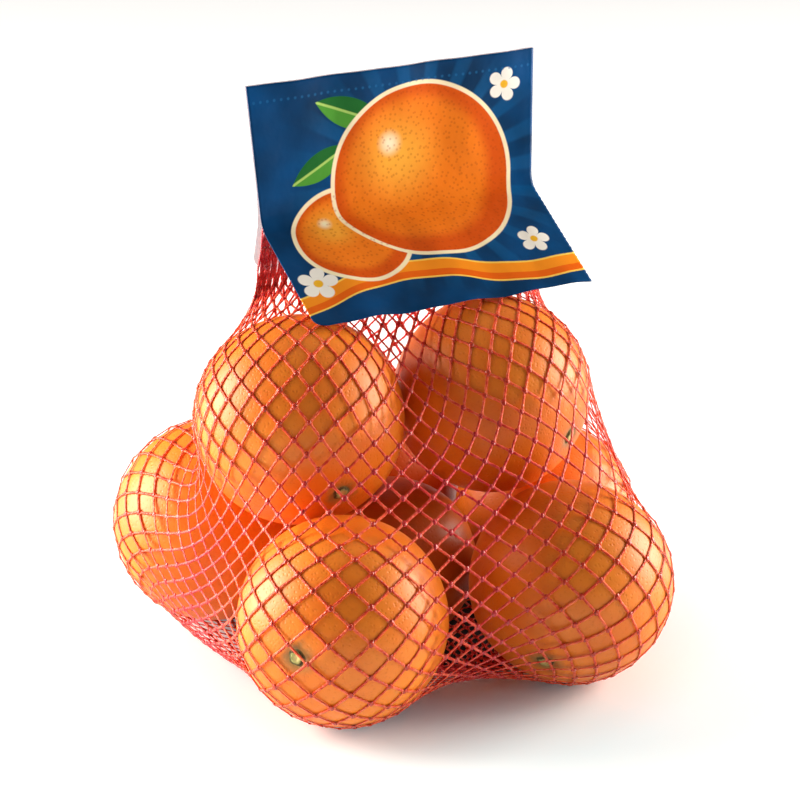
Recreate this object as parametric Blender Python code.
# A retail net of eight oranges: a knitted net tube drawn tight round the fruit,
# closed at the top by a folded film label and at the bottom by a film band.
# Metres, +Z up, -Y is the front. The origin is the bottom centre of the pack.
import bmesh
import bpy
import numpy as np
from mathutils import Vector

MM = 0.001

# Plan place and radius of the oranges in the lower layer, which sit on the floor
LOWER_ORANGES = {
    "left": (-0.0710, 0.0257, 0.0417),
    "front": (-0.0176, -0.0724, 0.0412),
    "right": (0.0718, -0.0338, 0.0406),
    "middle": (0.0010, 0.0010, 0.0345),
    "back": (0.0640, 0.0453, 0.0374),
    "rear": (-0.0081, 0.0762, 0.0375),
}
# Plan place, height of the centre and radius of the two oranges on top
UPPER_ORANGES = {
    "upper_left": (-0.0350, -0.0193, 0.1040, 0.0417),
    "upper_right": (0.0408, 0.0112, 0.1033, 0.0399),
}
FRUIT_LIFT = 0.4 * MM        # peel above the floor, where the net passes under it
SKIN_STANDOFF = 1.2 * MM     # outside of the net, measured from the peel
FLAT_DEPTH = SKIN_STANDOFF - FRUIT_LIFT   # height pressed flat under each orange

# The fold of the label: where it is and which way it runs
CREASE_CENTRE = Vector((0.0039, 0.0405, 0.1724))
LABEL_YAW = np.radians(27.6)
ALONG = Vector((np.cos(LABEL_YAW), np.sin(LABEL_YAW), 0.0))
BACK = Vector((-np.sin(LABEL_YAW), np.cos(LABEL_YAW), 0.0))
UP = Vector((0.0, 0.0, 1.0))

# Edges of the label from the fold: along, back, up, half width, rise of the right end
TOP_EDGE = (0.3 * MM, 5.7 * MM, 56.1 * MM, 64.3 * MM, -0.8 * MM)
CREASE_EDGE = (0.0, 0.0, 0.0, 60.8 * MM, 0.6 * MM)
FLAP_EDGE = (0.9 * MM, -47.6 * MM, -26.5 * MM, 61.6 * MM, -0.65 * MM)
FILM = 0.8 * MM              # thickness that stands for the thin films
GAP = 0.3 * MM               # clearance between pieces that touch
FOLD_SHARE = 0.10            # share of each panel that the soft fold takes up
CORNER_RADIUS = 5.0 * MM     # rounded lower left corner of the flap
LABEL_COLUMNS = 16
PANEL_ROWS = 6
FOLD_ROWS = 2
PANEL_BOW = 1.6 * MM         # how far the panels bow between their edges

# The neck of the net, pressed flat behind the fold
NECK_BACK = 2.2 * MM
NECK_HALF = 1.0 * MM
NECK_INSET = 1.5 * MM        # the net ends this far in from the ends of the fold
NECK_DROP = 1.4 * MM         # top edge of the net below the fold
COLLAR_DROP = 20.0 * MM      # the back film reaches this far down over the net
COLLAR_FLARE = 3.0 * MM      # and gets wider by this much on each side
COLLAR_ROWS = 3
NECK_DEPTH = COLLAR_DROP + 4.5 * MM   # the net is pressed flat down to here

# The net: a tube of diamond cells, knots in rows that are set half a cell apart
CELLS_ROUND = 44
KNOT_ROWS = 48
STRAND_SLACK_LENGTH = 4.0 * MM
STRAND_FULL_LENGTH = 11.0 * MM
SLACK_PUSH = 0.2             # stiffness of a strand shorter than its slack length
FULL_LENGTH_PULL = 3.0       # added stiffness of a strand past its full length
BAG_HALF_WIDTH = (0.128, 0.128)
WIDEN_SHARE = 0.35           # share of the way down over which the loose bag widens
GATHER_SHARE = 0.65          # and from which it draws in to the seam
FLAT_END_STEEPNESS = 8       # how quickly a flattened tube reaches its full gap
RELAX_STEPS = 1100
SETTLE_STEPS = 80
STEP_SIZE = 0.10
MOMENTUM = 0.93
SETTLE_MOMENTUM = 0.5

# The bottom seam, where the tube is welded flat, and the film band below it
SEAM_LEFT = Vector((-0.0500, -0.0340, 0.0030))
SEAM_RIGHT = Vector((0.0500, -0.0280, 0.0030))
SEAM_HALF = 1.0 * MM
BAND_WIDTH = 6.0 * MM
BAND_COLUMNS = 12

COLOURS = {
    "peel_in_net": (0.80, 0.27, 0.05, 1.0),
    "printed_film": (0.012, 0.075, 0.20, 1.0),
    "clear_film": (0.62, 0.50, 0.56, 1.0),
}


def clear_scene():
    """Remove whatever the file holds."""
    for item in list(bpy.data.objects):
        bpy.data.objects.remove(item, do_unlink=True)


def film_material(name, roughness):
    """A plain finish in the colour of one of the materials."""
    material = bpy.data.materials.new(name)
    material.use_nodes = True
    shader = material.node_tree.nodes["Principled BSDF"]
    shader.inputs["Base Color"].default_value = COLOURS[name]
    shader.inputs["Roughness"].default_value = roughness
    shader.inputs["Metallic"].default_value = 0.0
    return material


def add_object(name, mesh, material):
    """Put a mesh in the scene as one smooth-shaded sub-part."""
    mesh.materials.append(material)
    mesh.shade_smooth()
    mesh.set_sharp_from_angle(angle=np.radians(50))
    item = bpy.data.objects.new(name, mesh)
    bpy.context.collection.objects.link(item)
    return item


def orange_spheres():
    """Centres and radii of the oranges before the bottom is pressed flat."""
    lift = SKIN_STANDOFF
    centres = [(x, y, radius + lift) for x, y, radius in LOWER_ORANGES.values()]
    centres += [(x, y, z - FRUIT_LIFT + lift) for x, y, z, _ in UPPER_ORANGES.values()]
    radii = [place[-1] for place in LOWER_ORANGES.values()]
    radii += [place[-1] for place in UPPER_ORANGES.values()]
    return np.array(centres), np.array(radii)


def flat_loop(turn, left, right, half_gap):
    """Points of a tube pressed flat between two ends; turn runs 0..1 round it."""
    left, right = np.array(left), np.array(right)
    in_front = turn < 0.5
    share = np.where(in_front, 2 * turn, 2 - 2 * turn)
    run = right - left
    normal = np.array([-run[1], run[0], 0.0]) / np.hypot(run[0], run[1])
    end_rounding = np.sqrt(np.clip(np.minimum(share, 1 - share) * FLAT_END_STEEPNESS, 0, 1))
    side = np.where(in_front, -1.0, 1.0) * end_rounding * half_gap
    return left + run * share[..., None] + normal * side[..., None]


def neck_ends(drop):
    """Left and right end of the flattened neck at a depth below the fold."""
    flare = COLLAR_FLARE * drop / COLLAR_DROP
    centre = CREASE_CENTRE + BACK * NECK_BACK - UP * drop
    half = CREASE_EDGE[3] - NECK_INSET + flare
    rise = UP * CREASE_EDGE[4]
    lift = UP * FLAT_DEPTH
    return centre - ALONG * half - rise + lift, centre + ALONG * half + rise + lift


def net_strands():
    """Index pairs of the knots that each strand joins."""
    row = np.repeat(np.arange(KNOT_ROWS), CELLS_ROUND)
    col = np.tile(np.arange(CELLS_ROUND), KNOT_ROWS)
    beside = np.where(row % 2 == 0, (col - 1) % CELLS_ROUND, (col + 1) % CELLS_ROUND)
    upper = row * CELLS_ROUND + col
    below = (row + 1) * CELLS_ROUND
    return np.tile(upper, 2), np.concatenate([below + col, below + beside])


def start_shape():
    """A loose bag round the fruit, with the knots that stay pinned marked."""
    row = np.arange(KNOT_ROWS + 1)[:, None]
    turn = (np.arange(CELLS_ROUND)[None, :] + 0.5 * (row % 2)) / CELLS_ROUND
    angle = LABEL_YAW + np.pi + 2 * np.pi * turn
    wide, deep = BAG_HALF_WIDTH
    neck_bottom, seam_height = CREASE_CENTRE.z - NECK_DEPTH, SEAM_LEFT.z
    neck = flat_loop(turn, *neck_ends(NECK_DEPTH), NECK_HALF)
    seam = flat_loop(turn, SEAM_LEFT, SEAM_RIGHT, SEAM_HALF)
    ring = np.stack([wide * np.cos(angle), deep * np.sin(angle), 0 * angle], axis=-1)
    down = np.clip((row - COLLAR_ROWS) / (KNOT_ROWS - COLLAR_ROWS), 0, 1)
    widen = np.clip(down / WIDEN_SHARE, 0, 1)[..., None]
    gather = np.clip((down - GATHER_SHARE) / (1 - GATHER_SHARE), 0, 1)[..., None]
    knots = neck * (1 - widen) + ring * widen
    sunk = np.clip(down / GATHER_SHARE, 0, 1)
    knots[..., 2] = neck_bottom - (neck_bottom - seam_height) * sunk
    knots = knots * (1 - gather) + seam * gather
    for index in range(COLLAR_ROWS + 1):
        drop = NECK_DROP + (NECK_DEPTH - NECK_DROP) * index / COLLAR_ROWS
        knots[index] = flat_loop(turn[index], *neck_ends(drop), NECK_HALF)
    pinned = np.zeros(knots.shape[:2], dtype=bool)
    pinned[: COLLAR_ROWS + 1] = True
    pinned[-1] = True
    return knots.reshape(-1, 3), pinned.reshape(-1)


def push_off_fruit(points, centres, radii):
    """Move points that are inside an orange out to the net's outer surface."""
    for centre, radius in zip(centres, radii + SKIN_STANDOFF):
        offset = points - centre
        distance = np.linalg.norm(offset, axis=1)
        inside = distance < radius
        points[inside] = centre + offset[inside] * (radius / distance[inside])[:, None]
    points[:, 2] = np.maximum(points[:, 2], 0.0)
    return points


def drawn_net():
    """Draw the net tight over the oranges: elastic strands, fruit as obstacles."""
    centres, radii = orange_spheres()
    knots, pinned = start_shape()
    held = knots[pinned]
    first, second = net_strands()
    count = len(knots)
    speed = np.zeros_like(knots)
    for step in range(RELAX_STEPS):
        strand = knots[second] - knots[first]
        length = np.linalg.norm(strand, axis=1)
        stretch = length - STRAND_SLACK_LENGTH
        pull = np.where(stretch > 0, stretch, SLACK_PUSH * stretch)
        pull += FULL_LENGTH_PULL * np.maximum(length - STRAND_FULL_LENGTH, 0)
        force = strand * (pull / np.maximum(length, 1e-9))[:, None]
        total = np.stack([np.bincount(first, force[:, axis], count)
                          - np.bincount(second, force[:, axis], count)
                          for axis in range(3)], axis=1)
        momentum = MOMENTUM if step < RELAX_STEPS - SETTLE_STEPS else SETTLE_MOMENTUM
        moved = push_off_fruit(knots + momentum * speed + STEP_SIZE * total, centres, radii)
        moved[pinned] = held
        speed = moved - knots
        knots = moved
    return knots, centres, radii


def net_cells():
    """The four knots round each diamond cell: top, left, bottom, right."""
    cells = []
    for row in range(1, KNOT_ROWS):
        shift = row % 2
        for col in range(CELLS_ROUND):
            beside = (col + 1) % CELLS_ROUND
            end = (col + shift) % CELLS_ROUND
            cells.append(((row - 1) * CELLS_ROUND + end, row * CELLS_ROUND + col,
                          (row + 1) * CELLS_ROUND + end, row * CELLS_ROUND + beside))
    return cells


def edge_faces():
    """Half cells along the two welded edges, and the faces that close them."""
    faces = []
    last = KNOT_ROWS * CELLS_ROUND
    before_last = last - CELLS_ROUND
    for col in range(CELLS_ROUND):
        beside = (col + 1) % CELLS_ROUND
        faces.append((col, CELLS_ROUND + col, beside))
        faces.append((last + beside, before_last + col, last + col))
    for col in range(CELLS_ROUND // 2):
        near, far = col + 1, CELLS_ROUND - col - 1
        start, mate = col, (CELLS_ROUND - col) % CELLS_ROUND
        top = [start, near, far, mate]
        if start == mate:
            top = [start, near, far]
        elif near == far:
            top = [start, near, mate]
        faces.append(tuple(top))
        faces.append(tuple(last + index for index in reversed(top)))
    return faces


def make_filled_net(material):
    """The net with the fruit in it, as one lobed solid out to the strands."""
    knots, centres, radii = drawn_net()
    cells = net_cells()
    middles = np.array([knots[list(cell)].mean(axis=0) for cell in cells])
    middles = push_off_fruit(middles, centres, radii)
    points = np.concatenate([knots, middles])
    faces = edge_faces()
    for index, (top, left, bottom, right) in enumerate(cells):
        middle = len(knots) + index
        faces += [(top, left, middle), (left, bottom, middle),
                  (bottom, right, middle), (right, top, middle)]
    mesh = bpy.data.meshes.new("filled_net")
    mesh.from_pydata(points.tolist(), [], faces)
    shape = bmesh.new()
    shape.from_mesh(mesh)
    bmesh.ops.recalc_face_normals(shape, faces=shape.faces)
    everything = shape.verts[:] + shape.edges[:] + shape.faces[:]
    cut = bmesh.ops.bisect_plane(shape, geom=everything, dist=1e-6,
                                 plane_co=(0.0, 0.0, FLAT_DEPTH),
                                 plane_no=(0.0, 0.0, -1.0), clear_outer=True)
    rim = [item for item in cut["geom_cut"] if isinstance(item, bmesh.types.BMEdge)]
    bmesh.ops.edgenet_fill(shape, edges=rim, mat_nr=0, use_smooth=False, sides=0)
    bmesh.ops.translate(shape, verts=shape.verts[:], vec=(0.0, 0.0, -FLAT_DEPTH))
    bmesh.ops.recalc_face_normals(shape, faces=shape.faces)
    bmesh.ops.triangulate(shape, faces=[face for face in shape.faces if len(face.verts) > 3])
    shape.to_mesh(mesh)
    shape.free()
    return add_object("filled_net", mesh, material)


def sheet_solid(name, grid, thickness, material):
    """A closed plate of even thickness round a grid of points, rows by columns."""
    grid = np.array(grid)
    rows, cols = grid.shape[:2]
    across = np.gradient(grid, axis=1)
    down = np.gradient(grid, axis=0)
    normal = np.cross(across, down)
    normal /= np.linalg.norm(normal, axis=2)[..., None]
    front = (grid + normal * thickness / 2).reshape(-1, 3)
    back = (grid - normal * thickness / 2).reshape(-1, 3)
    size = rows * cols
    faces = []
    for row in range(rows - 1):
        for col in range(cols - 1):
            corner = row * cols + col
            quad = (corner, corner + 1, corner + cols + 1, corner + cols)
            faces.append(quad)
            faces.append(tuple(size + index for index in reversed(quad)))
    rim = list(range(cols))
    rim += [row * cols + cols - 1 for row in range(1, rows)]
    rim += [(rows - 1) * cols + col for col in range(cols - 2, -1, -1)]
    rim += [row * cols for row in range(rows - 2, 0, -1)]
    for start, end in zip(rim, rim[1:] + rim[:1]):
        faces.append((end, start, size + start, size + end))
    mesh = bpy.data.meshes.new(name)
    mesh.from_pydata(np.concatenate([front, back]).tolist(), [], faces)
    shape = bmesh.new()
    shape.from_mesh(mesh)
    bmesh.ops.recalc_face_normals(shape, faces=shape.faces)
    bmesh.ops.triangulate(shape, faces=shape.faces[:])
    shape.to_mesh(mesh)
    shape.free()
    return add_object(name, mesh, material)


def mix_edges(start, end, share):
    """The edge that lies a share of the way from one named edge to another."""
    return [a + (b - a) * share for a, b in zip(start, end)]


def folded_edge(travel):
    """The line across the label at -1 (top edge) to 1 (flap edge), past a soft fold."""
    if abs(travel) >= FOLD_SHARE:
        return mix_edges(CREASE_EDGE, TOP_EDGE if travel < 0 else FLAP_EDGE, abs(travel))
    turn = (travel / FOLD_SHARE + 1) / 2
    above = mix_edges(CREASE_EDGE, TOP_EDGE, FOLD_SHARE)
    below = mix_edges(CREASE_EDGE, FLAP_EDGE, FOLD_SHARE)
    return mix_edges(mix_edges(above, CREASE_EDGE, turn), mix_edges(CREASE_EDGE, below, turn), turn)


def edge_point(edge, side, inset=0.0):
    """A point on an edge, from side -1 at its left end to 1 at its right end."""
    along, back, up, half, rise = edge
    left_inset = inset * max(0.0, -side)
    return (CREASE_CENTRE + ALONG * (along + side * half + left_inset)
            + BACK * back + UP * (up + side * rise))


def corner_inset(from_end):
    """How far a rounded corner pulls the side edge in, near the sheet's end."""
    depth = CORNER_RADIUS - min(from_end, CORNER_RADIUS)
    return CORNER_RADIUS - np.sqrt(max(CORNER_RADIUS ** 2 - depth ** 2, 0.0))


def make_label(material):
    """The printed film: an upright panel and, past the soft fold, a sloping flap."""
    flap_length = np.hypot(FLAP_EDGE[1], FLAP_EDGE[2])
    panel = np.linspace(FOLD_SHARE, 1, PANEL_ROWS + 1)
    fold = np.linspace(-FOLD_SHARE, FOLD_SHARE, 2 * FOLD_ROWS + 1)
    grid = []
    for travel in [*-panel[:0:-1], *fold, *panel[1:]]:
        edge = folded_edge(travel)
        inset = corner_inset((1 - travel) * flap_length)
        bow = PANEL_BOW * np.sin(np.pi * abs(travel))
        bow_way = BACK if travel < 0 else UP
        line = []
        for col in range(LABEL_COLUMNS + 1):
            side = 2 * col / LABEL_COLUMNS - 1
            point = edge_point(edge, side, inset) + bow_way * bow * (1 - side * side)
            line.append(tuple(point))
        grid.append(line)
    return sheet_solid("label", grid, FILM, material)


def make_back_film(material):
    """The clear film behind the panel, which goes on down over the net's neck."""
    panel_offset = FILM + GAP
    collar_offset = NECK_BACK + NECK_HALF + GAP + FILM / 2
    grid = []
    for row in range(PANEL_ROWS + COLLAR_ROWS + 1):
        if row <= PANEL_ROWS:
            share = 1 - row / PANEL_ROWS
            edge = mix_edges(CREASE_EDGE, TOP_EDGE, share)
            spread = max(0.0, 1 - share * PANEL_ROWS / 2)
            bow = PANEL_BOW * np.sin(np.pi * share)
            edge[1] += panel_offset + (collar_offset - panel_offset) * spread ** 2
        else:
            drop = COLLAR_DROP * (row - PANEL_ROWS) / COLLAR_ROWS
            edge = list(CREASE_EDGE)
            edge[1] += collar_offset
            edge[2] -= drop
            edge[3] += COLLAR_FLARE * drop / COLLAR_DROP
            bow = 0.0
        line = []
        for col in range(LABEL_COLUMNS // 2 + 1):
            side = 4 * col / LABEL_COLUMNS - 1
            line.append(tuple(edge_point(edge, side) + BACK * bow * (1 - side * side)))
        grid.append(line)
    return sheet_solid("back_film", grid, FILM, material)


def make_bottom_band(material):
    """The film band that closes the tube, flat on the floor under the seam."""
    run = SEAM_RIGHT - SEAM_LEFT
    across = Vector((-run.y, run.x, 0.0)).normalized()
    height = GAP + FILM / 2
    grid = []
    for side in (-0.5, 0.0, 0.5):
        line = []
        for col in range(BAND_COLUMNS + 1):
            point = SEAM_LEFT + run * (col / BAND_COLUMNS) + across * side * BAND_WIDTH
            line.append((point.x, point.y, height))
        grid.append(line)
    return sheet_solid("bottom_band", grid, FILM, material)


clear_scene()
printed_film = film_material("printed_film", 0.30)
make_filled_net(film_material("peel_in_net", 0.45))
make_label(printed_film)
make_back_film(film_material("clear_film", 0.25))
make_bottom_band(printed_film)
